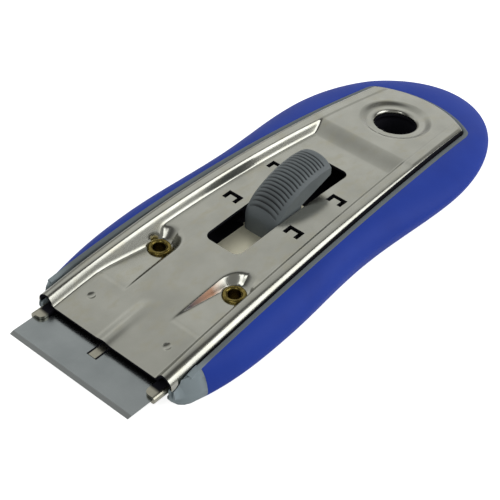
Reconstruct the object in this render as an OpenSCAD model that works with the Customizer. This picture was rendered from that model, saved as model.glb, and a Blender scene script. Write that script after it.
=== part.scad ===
// Razor blade scraper: a pressed steel plate over a moulded handle, with the blade on a sliding carrier.
// X runs along the tool with the blade towards -X, Z is up, and the underside rests on Z = 0.
// The plate is arched along X with its crest over the origin. Places along the tool that are named
// "from the plate's front" are measured from the plate's front edge towards the rear.

/* [Blade] */
// Width of the blade along its edge
blade_w = 40; // [36:0.5:46]
// Depth of the blade from its edge to its back
blade_d = 20; // [18:0.5:22]
// Thickness of the blade
blade_t = 0.4; // [0.25:0.05:0.6]
// Depth of the ground bevel along the edge
bevel_d = 1.2; // [0.6:0.1:3]
// Width of the notch in the blade's back
notch_w = 3.2; // [2.4:0.2:8]
// Depth of the notch in the blade's back
notch_d = 12.2; // [10:0.2:12.4]
// How far the edge stands ahead of the plate when the blade is out
blade_reach = 11.8; // [8:0.2:13]

/* [Plate] */
// Length of the plate from its front edge to the end of its round rear
plate_l = 131; // [128:0.5:136]
// Sheet thickness of the plate
plate_t = 0.8; // [0.6:0.1:1]
// Radius of the plate's arch along the tool
arch_r = 485; // [420:5:700]
// How much narrower each side of the plate is at the rear
taper_in = 6.5; // [5.5:0.1:7.5]
// Radius of the plate's round rear end
rear_r = 26; // [24:0.5:30]
// Width of the flat band on top of each side rib
rib_w = 3.8; // [3.4:0.1:4.2]
// Height of the side ribs above the middle of the plate
rib_h = 2.5; // [2:0.1:3]
// Width of the ribs' slanting inner walls, seen from above
wall_run = 1.4; // [1.2:0.1:1.6]
// Depth of the plate's side skirts below the rib tops
skirt_h = 3.5; // [3.4:0.1:4.2]
// Outer bend radius between rib top and skirt
edge_bend_r = 1.5; // [1:0.1:2]
// End of the ramp up to the rear zone, from the plate's rear end
ramp_in = 31.5; // [29:0.5:33]
// Length of the ramp up to the rear zone
ramp_l = 5; // [3:0.5:7]
// Length of the stiffening bead at the plate's front
bead_l = 15; // [10:1:20]
// Width of the stiffening bead
bead_w = 4.4; // [3:0.2:6]
// Height of the stiffening bead
bead_h = 0.5; // [0.3:0.1:0.8]
// Radius of the punch that makes the two dimples
dimple_r = 1.2; // [0.8:0.1:1.6]

/* [Thumb slot] */
// Front end of the slot, from the plate's front
slot_x = 41; // [40:0.5:43]
// Length of the slot
slot_l = 45.4; // [44:0.2:48]
// Corner radius of the slot
slot_r = 2.2; // [1:0.1:3]
// Rear edge of the front latch windows, from the plate's front
window_x = 58.9; // [57:0.1:60]
// Distance from the front to the rear latch windows, which is the retracting stroke
window_step = 17.6; // [15:0.1:18]
// Width of a latch window across the tool
window_w = 4.8; // [4:0.1:5.4]
// Length of a latch window's legs
window_l = 3.2; // [2.4:0.1:4]
// Width of the lanced slit of a latch window
window_cut = 1.1; // [0.9:0.05:1.3]

/* [Fastenings] */
// Eyelet centres, from the plate's front
eyelet_x = 32.1; // [31.5:0.1:33]
// Eyelet centres, from the tool's centre line
eyelet_y = 12.8; // [12.5:0.1:12.9]
// Outer radius of an eyelet's flange
eyelet_flange_r = 3.2; // [3:0.1:3.3]
// Outer radius of an eyelet's barrel
eyelet_r = 2.4; // [2:0.1:2.5]
// Wall thickness of an eyelet
eyelet_t = 0.6; // [0.4:0.05:0.8]
// Front tip of the eyelet pockets, from the plate's front
pocket_tip_x = 16.5; // [14:0.5:19]
// Drop of the pockets' level floor below the plate at their tips
pocket_drop = 0.85; // [0.3:0.05:1]
// Radius of an eyelet pocket round its eyelet
pocket_r = 4.4; // [4.2:0.1:4.7]
// Shank radius of the rivets that hold the latch spring
rivet_r = 1.1; // [0.9:0.05:1.3]
// Head radius of the rivets that hold the latch spring
rivet_head_r = 1.7; // [1.5:0.1:2]

/* [Handle] */
// How far the handle's rear end stands behind the plate
tail_over = 13.9; // [12:0.1:20]
// Thickness of the channel floor under the blade carrier
floor_t = 3.9; // [3.2:0.1:5]
// How far that floor stays behind the noses' tips
floor_in = 6; // [4:0.5:6]
// Thickness of the floor under the latch spring
spring_floor_t = 1.6; // [1.2:0.1:2]
// Width of the core's lip round the plate
lip_w = 1.4; // [1:0.1:2]
// How far the lip lies below the plate's rim
lip_drop = 1.5; // [1.2:0.1:2]
// How far the grip stands out past the lip at its front bulge
bulge_over = 5.2; // [4:0.1:7]
// How far each side is drawn in at the waist
waist_in = 1.95; // [0.5:0.05:2.5]
// Place of the front bulge, as a share of the plate's length
bulge_share = 0.255; // [0.22:0.005:0.28]
// Place of the waist, as a share of the plate's length
waist_share = 0.514; // [0.48:0.002:0.54]
// Length of the two bare noses ahead of the grip
nose_l = 8; // [6:0.5:10]
// How far each nose is rounded in towards the blade
nose_in = 10.5; // [8:0.1:11]
// Height and length of the rounded underside at the noses' tips
nose_r = 3; // [1:0.1:4]
// Height of the grip's widest line above the underside, at the noses
side_front_h = 1.4; // [1:0.1:3]
// Height of the grip's widest line above the underside, at the waist
side_waist_h = 7.5; // [5:0.1:8]
// Height of the grip's widest line above the underside, at the rear end
side_rear_h = 5.2; // [4:0.1:6]
// Radius of the hanging hole
hang_r = 6; // [5:0.1:6.4]
// Hanging hole, from the plate's rear end
hang_in = 16.2; // [15:0.2:18]

/* [Carriage] */
// Sheet thickness of the blade carrier
carrier_t = 0.8; // [0.6:0.05:0.9]
// Length of the carrier's wide front
carrier_l = 13.2; // [12:0.1:13.4]
// How far the carrier's hems stand ahead of the plate when the blade is out
hem_reach = 4.1; // [3:0.1:4.2]
// Width of the hems over the blade
hem_w = 3.5; // [3:0.1:4.4]
// Radius of the hems' front corners over the blade
hem_r = 1.5; // [0.5:0.1:2.5]
// Half width of the carrier's neck
neck_half = 6.8; // [5.5:0.1:7]
// Thickness of the latch spring
spring_t = 0.6; // [0.4:0.05:0.7]
// Half width of the latch spring's leaf
leaf_half = 5.4; // [5:0.1:6]
// Length of the latch spring
leaf_l = 32; // [30:0.5:34]

/* [Thumb slide] */
// Front face of the slide, from the plate's front
slide_x = 56; // [55.4:0.1:57]
// Length of the slide
slide_l = 23; // [21:0.5:24]
// Width of the slide
slide_w = 10.8; // [9.6:0.1:11]
// Radius of the slide's arched top
slide_arch_r = 27; // [26:0.5:30]
// Height of the arched top's crest above the plate's rim
slide_rise = 5; // [4.4:0.1:6]
// Crest of the arched top behind the slide's front face
slide_crest = 18.3; // [17:0.1:19]
// Length of the stem that runs in the slot
stem_l = 10.4; // [9:0.2:10.8]
// Height of the slide's rear face
slide_tail_h = 2.8; // [2:0.1:3.6]
// Rounding of the slide's top edges
slide_round_r = 1.3; // [0.6:0.1:2]
// Number of finger ribs
finger_ribs = 17; // [9:1:19]

/* [Fits] */
// Gap all round between plate and lip
plate_gap = 0.35; // [0.2:0.05:0.5]
// Gap under the plate's skirts
seat_fit = 0.05; // [0.03:0.01:0.1]
// Gap between the blade and the carrier's hems
blade_fit = 0.1; // [0.05:0.01:0.2]
// Running gap between carrier and channel
carrier_fit = 0.4; // [0.2:0.05:0.5]
// Gap under the carrier and between stacked sheets
sheet_fit = 0.15; // [0.14:0.01:0.2]
// Gap between the blade and the plate above it, which the carrier's flaps run in
blade_head = 1.1; // [1.05:0.05:1.4]
// Gap between the slide and the sides of its slot
slide_fit = 0.4; // [0.25:0.05:0.5]
// Radial gap of the eyelets and rivets in their holes
pin_fit = 0.1; // [0.05:0.01:0.15]

/* [Hidden] */
// Facets of round shapes, of the long arch and of shaped sweeps
round_fn = 64;
arch_fn = 1440;
curl_fn = 16;
grip_steps = 18;
profile_steps = 6;
// Overrun of every cut
over = 1;
// Shapes of curves, as powers and shares
taper_power = 1.7;
nose_power = 2.5;
under_share = 1.1;
over_share = 1.2;
bend_share = 0.3;
bead_shares = [[0, 1], [0.5, 0.6], [1, 0]];
// Angles of the first finger groove and of the grooves' whole span round the slide's arch
finger_from = 129;
finger_span = 36;
taper_l_share = 0.955;

// Places along the tool
total_l = blade_reach + plate_l + tail_over;
front_x = blade_reach - total_l / 2;
tail_x = total_l / 2;
rear_x = front_x + plate_l;
rear_centre_x = rear_x - rear_r;

// The stack from the underside to the rim, at the plate's front edge
carrier_z = floor_t + sheet_fit;
blade_z = carrier_z + carrier_t;
blade_top = blade_z + blade_t;
spring_z = blade_z + sheet_fit;
spring_top = spring_z + spring_t;
front_rim_z = blade_top + blade_head + plate_t + rib_h;

// Height of the arch's drop at x, and of the plate's rim there
function sag(x) = arch_r - sqrt(arch_r * arch_r - x * x);
rim_h = front_rim_z + sag(front_x);
function rim_z(x) = rim_h - sag(x);

// Widths across the tool, from the blade outwards
carrier_half = blade_w / 2 + blade_fit + carrier_t;
channel_half = carrier_half + carrier_fit;
plate_half = channel_half + carrier_fit + plate_t;
lip_over = plate_gap + lip_w;
crest_over = plate_gap + lip_w * 3 / 4;
bulge_half = plate_half + lip_over + bulge_over;
waist_half = bulge_half - waist_in;
slot_half = slide_w / 2 + slide_fit;

// Half width of the plate at x
function edge_half(x) =
    plate_half - taper_in * pow(max(0, x - front_x) / (plate_l * taper_l_share), taper_power);

// Half width of the handle at x, from the noses to the rear bulge
bulge_l = plate_l * bulge_share;
wave_l = plate_l * waist_share - bulge_l;
bulge_x = front_x + bulge_l;
waist_x = bulge_x + wave_l;
rear_bulge_x = waist_x + wave_l;
function wave_half(x) = waist_half + waist_in * (1 + cos(180 * (x - bulge_x) / wave_l)) / 2;
function nose_half(x) =
    let (u = max(0, (bulge_x - x) / bulge_l),
         full = bulge_half - nose_in + nose_in * sqrt(1 - pow(u, nose_power)))
    max(full, channel_half + lip_w / 2);
function side_half(x) = x < bulge_x ? nose_half(x) : wave_half(x);

// Height of the grip's widest line at x
function side_z(x) =
    let (ahead = min(1, max(0, (waist_x - x) / (waist_x - front_x))),
         behind = min(1, max(0, (x - waist_x) / (tail_x - waist_x))))
    side_waist_h - (side_waist_h - side_front_h) * pow(ahead, 2)
    - (side_waist_h - side_rear_h) * pow(behind, 2);

// The plate's levels: 0 is the middle, 1 the rear zone
ramp_x = rear_x - ramp_in - ramp_l;
function ramp(x) =
    let (t = min(1, max(0, (x - ramp_x) / ramp_l)))
    t * t * (3 - 2 * t);
function middle_drop(x) = rib_h * (1 - ramp(x));
function bead(x) = let (u = (x - front_x) / bead_l) u < 1 ? bead_h * (1 - u * u) : 0;

// Eyelet pockets: a level floor sunk in the plate, which the arch rises away from
pocket_z = rim_z(front_x + pocket_tip_x) - rib_h - pocket_drop;
eyelet_cx = front_x + eyelet_x;
pocket_out = edge_half(eyelet_cx) - rib_w - wall_run - rib_h * bend_share / 2;
seat_z = pocket_z - plate_t;
curl_r = (eyelet_flange_r - eyelet_r + eyelet_t) / 2;
roll_h = curl_r + eyelet_t / 3;
roll_gap = plate_gap;

// Hanging hole and its drawn collar
hang_cx = rear_x - hang_in;
collar_r = hang_r + plate_t;
collar_z = rim_z(hang_cx + collar_r) - skirt_h;

// Blade along the tool
edge_x = front_x - blade_reach;
back_x = edge_x + blade_d;
notch_x = back_x - notch_d;

// Channel and carriage along the tool
channel_end = eyelet_cx - eyelet_r - pin_fit - plate_t * 3;
neck_end = front_x + slot_x - over;
latch_half = eyelet_y + plate_t;
latch_end = front_x + slot_x + slot_l + plate_t * 10;
carrier_front = front_x - hem_reach;
carrier_back = carrier_front + carrier_l;
leaf_x = front_x + slot_x;
rivet_x = leaf_x + rivet_head_r;
pivot_x = rivet_x + rivet_r + pin_fit;
neck_back = pivot_x + rivet_r;
lug_x = front_x + window_x - window_cut / 2;
lug_top = rim_z(front_x + slot_x) - rib_h - plate_t - sheet_fit * 3;
window_y = eyelet_y - window_w / 2;

// Thumb slide
slide_front = front_x + slide_x;
slide_centre = [slide_front + slide_crest, rim_h + slide_rise - slide_arch_r];
slide_rail = slide_w / 8;
groove_r = slide_arch_r * PI * finger_span / 180 / finger_ribs / 4;

// Rounded rectangle in plan, from its front end
module slot_plan(length, half, r) {
    translate([r, -half])
        square([length - 2 * r, 2 * half]);
    translate([0, r - half])
        square([length, 2 * half - 2 * r]);
    for (x = [r, length - r], y = [-half + r, half - r])
        translate([x, y])
            circle(r, $fn = round_fn);
}

// The plate's outline from above, grown by a margin, behind a given place
module plate_plan(grow, from) {
    steps = 16;
    start = front_x - over;
    xs = [for (i = [0:steps]) start + (rear_x + grow + over - start) * i / steps];
    right = [for (x = xs) [x, -edge_half(x) - grow]];
    left = [for (x = reversed(xs)) [x, edge_half(x) + grow]];
    intersection() {
        polygon(concat(right, left));
        rear_plan(grow, from);
    }
}

// The plate's round rear end and all that lies ahead of it, as far as a given place
module rear_plan(grow, from) {
    translate([from, -bulge_half])
        square([rear_centre_x - from, 2 * bulge_half]);
    intersection() {
        translate([rear_centre_x, 0])
            circle(rear_r + grow, $fn = round_fn * 4);
        translate([from, -bulge_half])
            square([total_l, 2 * bulge_half]);
    }
}

// All that lies under the arch, a given depth below the rim
module under_arch(depth) {
    translate([0, 0, rim_h - arch_r])
        rotate([90, 0, 0])
            cylinder(r = arch_r - depth, h = 2 * bulge_half + 2 * over, center = true, $fn = arch_fn);
}

// Closed skin over a row of like sections, each of which runs out along one line and back along another
module loft(sections) {
    n = len(sections[0]);
    last = (len(sections) - 1) * n;
    sides = [for (i = [0:n:last - n], j = [0:n - 1]) each
        let (a = i + j, b = i + (j + 1) % n)
        [[a, b, b + n], [a, b + n, a + n]]];
    strip = [for (j = [0:ceil(n / 2) - 2])
        j + 1 == n - 2 - j ? [j, j + 1, n - 1 - j] : [j, j + 1, n - 2 - j, n - 1 - j]];
    front_cap = [for (f = strip) reversed(f)];
    back_cap = [for (f = strip) [for (k = f) k + last]];
    polyhedron([for (s = sections) each s], concat(sides, front_cap, back_cap));
}

// The grip's section from its crest out to the widest line, rounded over and under, and its root inside
function grip_section(lip, outer, root, lift = 0) =
    let (lip_z = rim_z(lip.x) - lip_drop,
         wide_h = side_z(outer.x),
         wide_z = wide_h + lift,
         curve = [for (i = [0:profile_steps]) 90 * i / profile_steps],
         high = [for (a = curve)
             [pow(sin(a), over_share), wide_z + (lip_z - wide_z) * pow(cos(a), over_share)]],
         low = [for (a = curve) if (a > 0)
             [pow(cos(a), under_share), wide_z - wide_h * pow(sin(a), under_share)]],
         inside = lip + (lip - outer) / norm(lip - outer) * root)
    concat([[inside.x, inside.y, lip_z - root / 2]],
           [for (p = concat(high, low)) let (q = lip + (outer - lip) * p[0]) [q.x, q.y, p[1]]],
           [[inside.x, inside.y, lift]]);

// Where a ray from the rear bulge's centre meets the crest of the grip's section, just inside the lip's edge
function lip_reach(dir) =
    let (r = rear_r + crest_over,
         back = rear_bulge_x - rear_centre_x,
         on_arc = -back * dir.x + sqrt(back * back * (dir.x * dir.x - 1) + r * r),
         slope = (edge_half(rear_x) - edge_half(rear_bulge_x)) / (rear_x - rear_bulge_x),
         on_side = (edge_half(rear_bulge_x) + crest_over) / (dir.y - slope * dir.x))
    min(on_arc, on_side);

// Sections down one side, from the noses' end to the rear bulge, then round the rear
function side_sections() =
    [for (i = [0:grip_steps]) let (x = front_x + nose_l + (rear_bulge_x - front_x - nose_l) * i / grip_steps)
        grip_section([x, edge_half(x) + crest_over], [x, side_half(x)], lip_w / 2)];
function rear_sections() =
    [for (i = [1:2 * grip_steps - 1]) let (a = 90 * i / grip_steps,
         outer = [rear_bulge_x + (tail_x - rear_bulge_x) * sin(a), bulge_half * cos(a)],
         side = a <= 90 ? 1 : -1,
         ray = [outer.x - rear_bulge_x, side * outer.y],
         dir = ray / norm(ray),
         lip = [rear_bulge_x, 0] + lip_reach(dir) * [dir.x, side * dir.y])
        grip_section(lip, outer, lip_w / 2)];
function mirrored(section) = [for (p = section) [p.x, -p.y, p.z]];
function reversed(list) = [for (i = [len(list) - 1:-1:0]) list[i]];

// One nose, swept from the front, where its underside is rounded up, to the start of the grip
module nose() {
    steps = 8;
    loft([for (i = [0:steps])
        let (x = front_x + nose_l * i * i / steps / steps,
             lip = min(edge_half(x) + crest_over, nose_half(x) - lip_w / 2))
        grip_section([x, lip], [x, nose_half(x)], lip - channel_half + carrier_fit,
                     pow(max(0, front_x + nose_r - x), 2) / nose_r)]);
}

// The plate's section at x, from one skirt over both ribs to the other
function plate_half_line(x) =
    let (drop = middle_drop(x), edge = edge_half(x), top = edge - rib_w, foot = top - wall_run,
         soft = rib_h * bend_share, r = edge_bend_r)
    concat([for (b = bead_shares) [bead_w / 2 * b[0], bead(x) * b[1] - drop]],
           [[foot - soft / 2, -drop], [foot + soft / 2, soft / 2 * drop / rib_h - drop],
            [top - soft / 2, -soft / 2 * drop / rib_h], [top + soft / 2, 0]],
           [for (a = [0, 30, 60, 90]) [edge - r + r * sin(a), r * cos(a) - r]],
           [[edge, -skirt_h]]);
function inward(line, i) =
    let (a = line[max(0, i - 1)], b = line[i], c = line[min(len(line) - 1, i + 1)],
         u = i == 0 ? [1, 0] : (b - a) / norm(b - a),
         v = i == len(line) - 1 ? u : (c - b) / norm(c - b),
         n = [u.y + v.y, -u.x - v.x])
    b + n * plate_t * 2 / (n * n);
function plate_section(x) =
    let (outer = plate_half_line(x), inner = [for (i = [0:len(outer) - 1]) inward(outer, i)],
         n = len(outer),
         loop = concat([for (i = [n - 1:-1:1]) [-outer[i].x, outer[i].y]], outer, reversed(inner),
                       [for (i = [1:n - 1]) [-inner[i].x, inner[i].y]]))
    [for (p = loop) [x, p.x, rim_z(x) + p.y]];

// An eyelet pocket's outline on the +Y side, grown by a margin
module pocket_plan(grow) {
    intersection() {
        union() {
            translate([eyelet_cx, eyelet_y])
                circle(pocket_r + grow, $fn = round_fn);
            translate([front_x + pocket_tip_x - grow, eyelet_y - pocket_r - grow])
                square([eyelet_x - pocket_tip_x + grow, 2 * pocket_r + 2 * grow]);
        }
        translate([front_x, 0])
            square([plate_l, pocket_out + grow]);
    }
}

module both_sides() {
    children();
    mirror([0, 1, 0])
        children();
}

module top_plate() {
    front_steps = 5;
    middle_steps = 9;
    ramp_steps = 4;
    rear_steps = 5;
    bead_end = front_x + bead_l;
    xs = concat([for (i = [0:front_steps - 1]) front_x + bead_l * i / front_steps],
                [for (i = [0:middle_steps - 1]) bead_end + (ramp_x - bead_end) * i / middle_steps],
                [for (i = [0:ramp_steps - 1]) ramp_x + ramp_l * i / ramp_steps],
                [for (i = [0:rear_steps]) ramp_x + ramp_l + (ramp_in + over) * i / rear_steps]);
    color("silver")
        difference() {
            union() {
                intersection() {
                    loft([for (x = xs) plate_section(x)]);
                    linear_extrude(rim_h + over)
                        rear_plan(0, front_x);
                }
                rear_skirt();
                both_sides()
                    intersection() {
                        translate([0, 0, seat_z])
                            linear_extrude(rim_h)
                                pocket_plan(plate_t);
                        under_arch(rib_h + plate_t / 2);
                    }
                translate([hang_cx, 0, collar_z])
                    cylinder(r = collar_r, h = rim_z(hang_cx + collar_r) - collar_z - plate_t / 2,
                             $fn = round_fn);
            }
            both_sides() {
                translate([0, 0, pocket_z])
                    linear_extrude(rim_h)
                        pocket_plan(0);
                translate([eyelet_cx, eyelet_y])
                    cylinder(r = eyelet_r + pin_fit, h = rim_h, $fn = round_fn);
                translate([front_x + pocket_tip_x / 2, eyelet_y, rim_z(front_x + pocket_tip_x / 2) - rib_h
                           + dimple_r * bend_share * 2])
                    sphere(dimple_r, $fn = round_fn);
                for (x = [window_x, window_x + window_step])
                    translate([front_x + x, 0])
                        linear_extrude(rim_h)
                            latch_window();
            }
            translate([front_x + slot_x, 0])
                linear_extrude(rim_h)
                    slot_plan(slot_l, slot_half, slot_r);
            translate([hang_cx, 0])
                cylinder(r = hang_r, h = rim_h, $fn = round_fn);
        }
}

// The skirt round the plate's rear end
module rear_skirt() {
    difference() {
        intersection() {
            linear_extrude(rim_h)
                difference() {
                    plate_plan(0, rear_centre_x - over);
                    rear_plan(-plate_t, rear_centre_x - 2 * over);
                }
            under_arch(plate_t / 2);
        }
        under_arch(skirt_h);
    }
}

// A three-sided slit round a tongue that stays joined at its front
module latch_window() {
    translate([-window_cut, window_y - window_w / 2])
        square([window_cut, window_w]);
    for (y = [window_y - window_w / 2, window_y + window_w / 2 - window_cut])
        translate([-window_l, y])
            square([window_l, window_cut]);
}

// The block inside the grip, under the lip
module core_block() {
    intersection() {
        linear_extrude(rim_h)
            plate_plan(lip_over, front_x + nose_l);
        under_arch(lip_drop);
    }
}

module handle_core() {
    color("slategray")
        difference() {
            union() {
                core_block();
                both_sides()
                    nose();
                translate([front_x + floor_in, -channel_half, 0])
                    cube([nose_l - floor_in + over, 2 * channel_half, floor_t]);
            }
            difference() {
                linear_extrude(rim_h + over)
                    plate_plan(plate_gap, front_x - over);
                under_arch(skirt_h + seat_fit);
                intersection() {
                    linear_extrude(rim_h)
                        plate_plan(-plate_t - plate_gap, ramp_x + ramp_l + plate_gap);
                    under_arch(plate_t + sheet_fit);
                }
            }
            carriage_channel();
            both_sides() {
                translate([0, 0, seat_z])
                    linear_extrude(rim_h)
                        pocket_plan(plate_t + plate_gap);
                translate([eyelet_cx, eyelet_y, -over])
                    cylinder(r = eyelet_r + pin_fit, h = rim_h, $fn = round_fn);
                translate([eyelet_cx, eyelet_y, -over])
                    cylinder(r = eyelet_flange_r + roll_gap, h = over + roll_h + roll_gap, $fn = round_fn);
            }
            translate([hang_cx, 0, -over])
                cylinder(r = hang_r, h = rim_h + over, $fn = round_fn);
            translate([hang_cx, 0, collar_z - sheet_fit])
                cylinder(r = collar_r + plate_gap, h = rim_h, $fn = round_fn);
        }
}

// The way of the carrier, its neck and the latch spring through the core
module carriage_channel() {
    translate([front_x - over, -channel_half, floor_t])
        cube([channel_end - front_x + over, 2 * channel_half, rim_h]);
    translate([channel_end - over, -neck_half - carrier_fit, floor_t])
        cube([neck_end - channel_end + 2 * over, 2 * (neck_half + carrier_fit), rim_h]);
    translate([neck_end, -latch_half, spring_floor_t])
        cube([latch_end - neck_end, 2 * latch_half, rim_h]);
}

module soft_grip() {
    color("royalblue")
        difference() {
            loft(concat(side_sections(), rear_sections(),
                        [for (s = reversed(side_sections())) mirrored(s)]));
            translate([0, 0, -over])
                linear_extrude(rim_h + 2 * over)
                    plate_plan(lip_over, front_x);
        }
}

module front_eyelets() {
    color("goldenrod")
        both_sides()
            translate([eyelet_cx, eyelet_y])
                rotate_extrude($fn = round_fn)
                    eyelet_profile();
}

// Half section of an eyelet: a barrel with a curled flange above and a rolled end below
module eyelet_profile() {
    inner = eyelet_r - eyelet_t;
    translate([inner, roll_gap + roll_h / 2])
        square([eyelet_t, pocket_z + roll_h / 2 - roll_gap - roll_h / 2]);
    translate([inner, pocket_z])
        curl_profile();
    translate([inner, roll_gap + roll_h])
        mirror([0, 1])
            curl_profile();
}

// Half section of a curled flange that stands on its flat face
module curl_profile() {
    square([2 * curl_r, roll_h - curl_r]);
    translate([curl_r, roll_h - curl_r])
        intersection() {
            circle(curl_r, $fn = curl_fn);
            translate([-curl_r, 0])
                square([2 * curl_r, curl_r]);
        }
}

module blade() {
    color("lightsteelblue")
        difference() {
            rotate([90, 0, 0])
                translate([0, 0, -blade_w / 2])
                    linear_extrude(blade_w)
                        polygon([[edge_x, blade_z], [back_x, blade_z], [back_x, blade_top],
                                 [edge_x + bevel_d, blade_top]]);
            translate([notch_x, -notch_w / 2, blade_z - over])
                cube([notch_d + over, notch_w, blade_t + 2 * over]);
        }
}

module blade_carrier() {
    color("gainsboro")
        difference() {
            union() {
                translate([carrier_front, -blade_w / 2, carrier_z])
                    cube([carrier_l, blade_w, carrier_t]);
                translate([carrier_back - over, -neck_half, carrier_z])
                    cube([neck_back - carrier_back + over, 2 * neck_half, carrier_t]);
                both_sides()
                    translate([carrier_front, 0, carrier_z])
                        rotate([90, 0, 90])
                            linear_extrude(carrier_l)
                                hem_profile();
                translate([notch_x + blade_fit, -notch_w / 2 + blade_fit, blade_z])
                    cube([notch_d / 2, notch_w - 2 * blade_fit, blade_t]);
            }
            both_sides() {
                translate([rivet_x, neck_half / 2, carrier_z - over])
                    cylinder(r = rivet_r, h = carrier_t + 2 * over, $fn = round_fn);
                translate([carrier_front, carrier_half - hem_w, blade_top])
                    linear_extrude(rim_h)
                        corner_plan(hem_r);
            }
        }
}

// The folded side of the carrier: up beside the blade and in along the blade's top
module hem_profile() {
    t = carrier_t;
    flap_z = t + blade_t + blade_fit;
    tip = carrier_half - hem_w;
    bend_x = carrier_half - t;
    polygon(concat(
        [[bend_x - t, 0]],
        [for (a = [-90:30:0]) [bend_x + t * cos(a), t + t * sin(a)]],
        [for (a = [0:30:90]) [bend_x + t * cos(a), flap_z + t * sin(a)]],
        [[tip, flap_z + t], [tip, flap_z], [bend_x, flap_z], [bend_x, t], [bend_x - t, t]]));
}

// What a round corner leaves of a square
module corner_plan(r) {
    difference() {
        translate([-over, -over])
            square(r + over);
        translate([r, r])
            circle(r, $fn = round_fn);
    }
}

module latch_spring() {
    arm_half = window_y + window_w / 2 - window_cut / 2;
    lug_w = window_w - window_cut;
    arm_l = window_l;
    color("lightgray")
        difference() {
            union() {
                translate([leaf_x, -leaf_half, spring_z])
                    cube([leaf_l, 2 * leaf_half, spring_t]);
                translate([lug_x - arm_l / 2, -arm_half, spring_z])
                    cube([arm_l, 2 * arm_half, spring_t]);
                both_sides()
                    translate([lug_x - spring_t / 2, arm_half - lug_w, spring_z])
                        cube([spring_t, lug_w, lug_top - spring_z]);
            }
            both_sides()
                translate([rivet_x, neck_half / 2, spring_z - over])
                    cylinder(r = rivet_r + pin_fit, h = spring_t + 2 * over, $fn = round_fn);
            for (x = stud_places())
                translate([x, 0, spring_z - over])
                    cylinder(r = rivet_r, h = spring_t + 2 * over, $fn = round_fn);
        }
}

module spring_rivets() {
    head_z = spring_top + sheet_fit * 2;
    color("silver")
        both_sides()
            translate([rivet_x, neck_half / 2]) {
                translate([0, 0, carrier_z])
                    cylinder(r = rivet_r, h = head_z - carrier_z + rivet_r / 2, $fn = round_fn);
                translate([0, 0, head_z])
                    cylinder(r1 = rivet_head_r, r2 = rivet_r, h = rivet_r, $fn = round_fn);
            }
}

// Centres of the two studs under the slide's stem
function stud_places() = [slide_front + stem_l / 4, slide_front + stem_l * 3 / 4];

module thumb_slide() {
    color("dimgray") {
        difference() {
            intersection() {
                rotate([90, 0, 0])
                    translate([0, 0, -slide_w / 2])
                        linear_extrude(slide_w)
                            slide_profile();
                translate([slide_centre.x, 0, slide_centre.y])
                    rotate([90, 0, 0])
                        rotate_extrude($fn = round_fn * 4)
                            slide_edge_profile();
            }
            for (i = [0:finger_ribs - 1])
                translate([slide_centre.x, 0, slide_centre.y])
                    rotate([0, -finger_angle(i), 0])
                        translate([slide_arch_r, slide_w / 2 - slide_rail, 0])
                            rotate([90, 0, 0])
                                cylinder(r = groove_r, h = slide_w - 2 * slide_rail, $fn = 16);
        }
        for (x = stud_places())
            translate([x, 0]) {
                translate([0, 0, spring_z - spring_t])
                    cylinder(r = rivet_r, h = 3 * spring_t, $fn = round_fn);
                translate([0, 0, spring_z - spring_t])
                    cylinder(r = rivet_head_r, h = spring_t, $fn = round_fn);
            }
    }
}

// Side view of the slide: a stem on the spring, an arched top and a raised tail
module slide_profile() {
    tail_x = slide_front + slide_l;
    stem_x = slide_front + stem_l;
    tail_top = slide_centre.y + sqrt(slide_arch_r * slide_arch_r - pow(tail_x - slide_centre.x, 2));
    slot_z = rim_h - rib_h + slide_fit;
    polygon([[slide_front, spring_top], [slide_front, rim_h + slide_rise], [tail_x, rim_h + slide_rise],
             [tail_x, tail_top - slide_tail_h], [stem_x, slot_z], [stem_x, spring_top]]);
}

// Half section of the arched top's ring, with its outer corners rounded
module slide_edge_profile() {
    half = slide_w / 2;
    r = slide_round_r;
    translate([slide_w / 2, -half])
        square([slide_arch_r - r - slide_w / 2, slide_w]);
    translate([slide_arch_r - r - over, r - half])
        square([over + r, slide_w - 2 * r]);
    for (y = [r - half, half - r])
        translate([slide_arch_r - r, y])
            circle(r, $fn = round_fn);
}

// Angle of a finger groove, from the arched top's front towards its crest
function finger_angle(i) = finger_from - finger_span * (i + 1 / 2) / finger_ribs;

handle_core();
soft_grip();
top_plate();
front_eyelets();
blade();
blade_carrier();
latch_spring();
spring_rivets();
thumb_slide();
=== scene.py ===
import math

import bpy
from mathutils import Matrix, Vector


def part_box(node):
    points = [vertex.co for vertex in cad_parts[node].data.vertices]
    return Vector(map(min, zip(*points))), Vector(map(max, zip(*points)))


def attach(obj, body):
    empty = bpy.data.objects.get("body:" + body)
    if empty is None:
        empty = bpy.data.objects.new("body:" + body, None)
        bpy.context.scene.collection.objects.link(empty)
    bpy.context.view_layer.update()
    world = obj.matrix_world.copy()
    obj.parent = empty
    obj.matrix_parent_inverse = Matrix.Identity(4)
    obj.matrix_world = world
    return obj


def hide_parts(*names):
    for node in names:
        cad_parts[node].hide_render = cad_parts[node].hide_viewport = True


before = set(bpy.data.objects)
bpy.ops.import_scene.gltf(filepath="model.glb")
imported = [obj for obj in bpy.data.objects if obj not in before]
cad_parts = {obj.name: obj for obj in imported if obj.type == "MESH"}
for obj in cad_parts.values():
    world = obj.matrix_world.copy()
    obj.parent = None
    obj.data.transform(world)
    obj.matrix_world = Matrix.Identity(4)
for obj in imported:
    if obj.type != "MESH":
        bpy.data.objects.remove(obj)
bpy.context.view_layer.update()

mm = 0.001
scene = bpy.context.scene

# Sizes taken from the parts in model.glb
plate_low, plate_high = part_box("top_plate")
grip_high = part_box("soft_grip")[1]
blade_low, blade_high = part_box("blade")
slide_low, slide_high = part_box("thumb_slide")
front_x = plate_low.x
rear_x = plate_high.x
plate_l = rear_x - front_x
plate_half = plate_high.y
rim_h = plate_high.z
tail_x = grip_high.x
bulge_half = grip_high.y

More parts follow.
